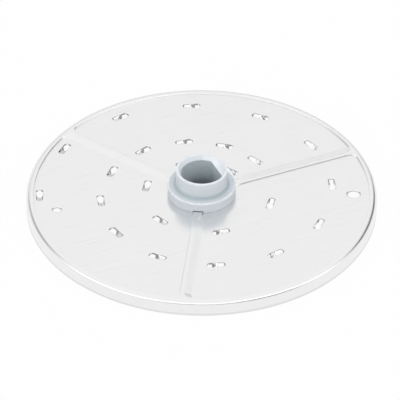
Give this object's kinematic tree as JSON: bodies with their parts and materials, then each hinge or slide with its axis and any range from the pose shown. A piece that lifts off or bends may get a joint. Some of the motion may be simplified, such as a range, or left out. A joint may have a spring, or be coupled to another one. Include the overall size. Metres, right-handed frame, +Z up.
{
  "type": "food processor grating disc",
  "caption": "Round pressed steel grating disc with a spiral of scooped teeth, a turned-down rim and a plastic drive hub with a D-shaped socket.",
  "frame": {"origin": "under the middle of the rim's lower edge, in the plane that the disc rests on", "axes": "+Z up along the hub's axis, out of the toothed side; +X through the flat of the drive socket and the first rib"},
  "size_m": [0.175, 0.175, 0.0219],
  "materials": {
    "steel_sheet": "satin",
    "hub_plastic": "satin"
  },
  "bodies": {
    "root": {"grating_disc": "steel_sheet", "hub": "hub_plastic", "retaining_ring": "hub_plastic"}
  },
  "joints": []
}
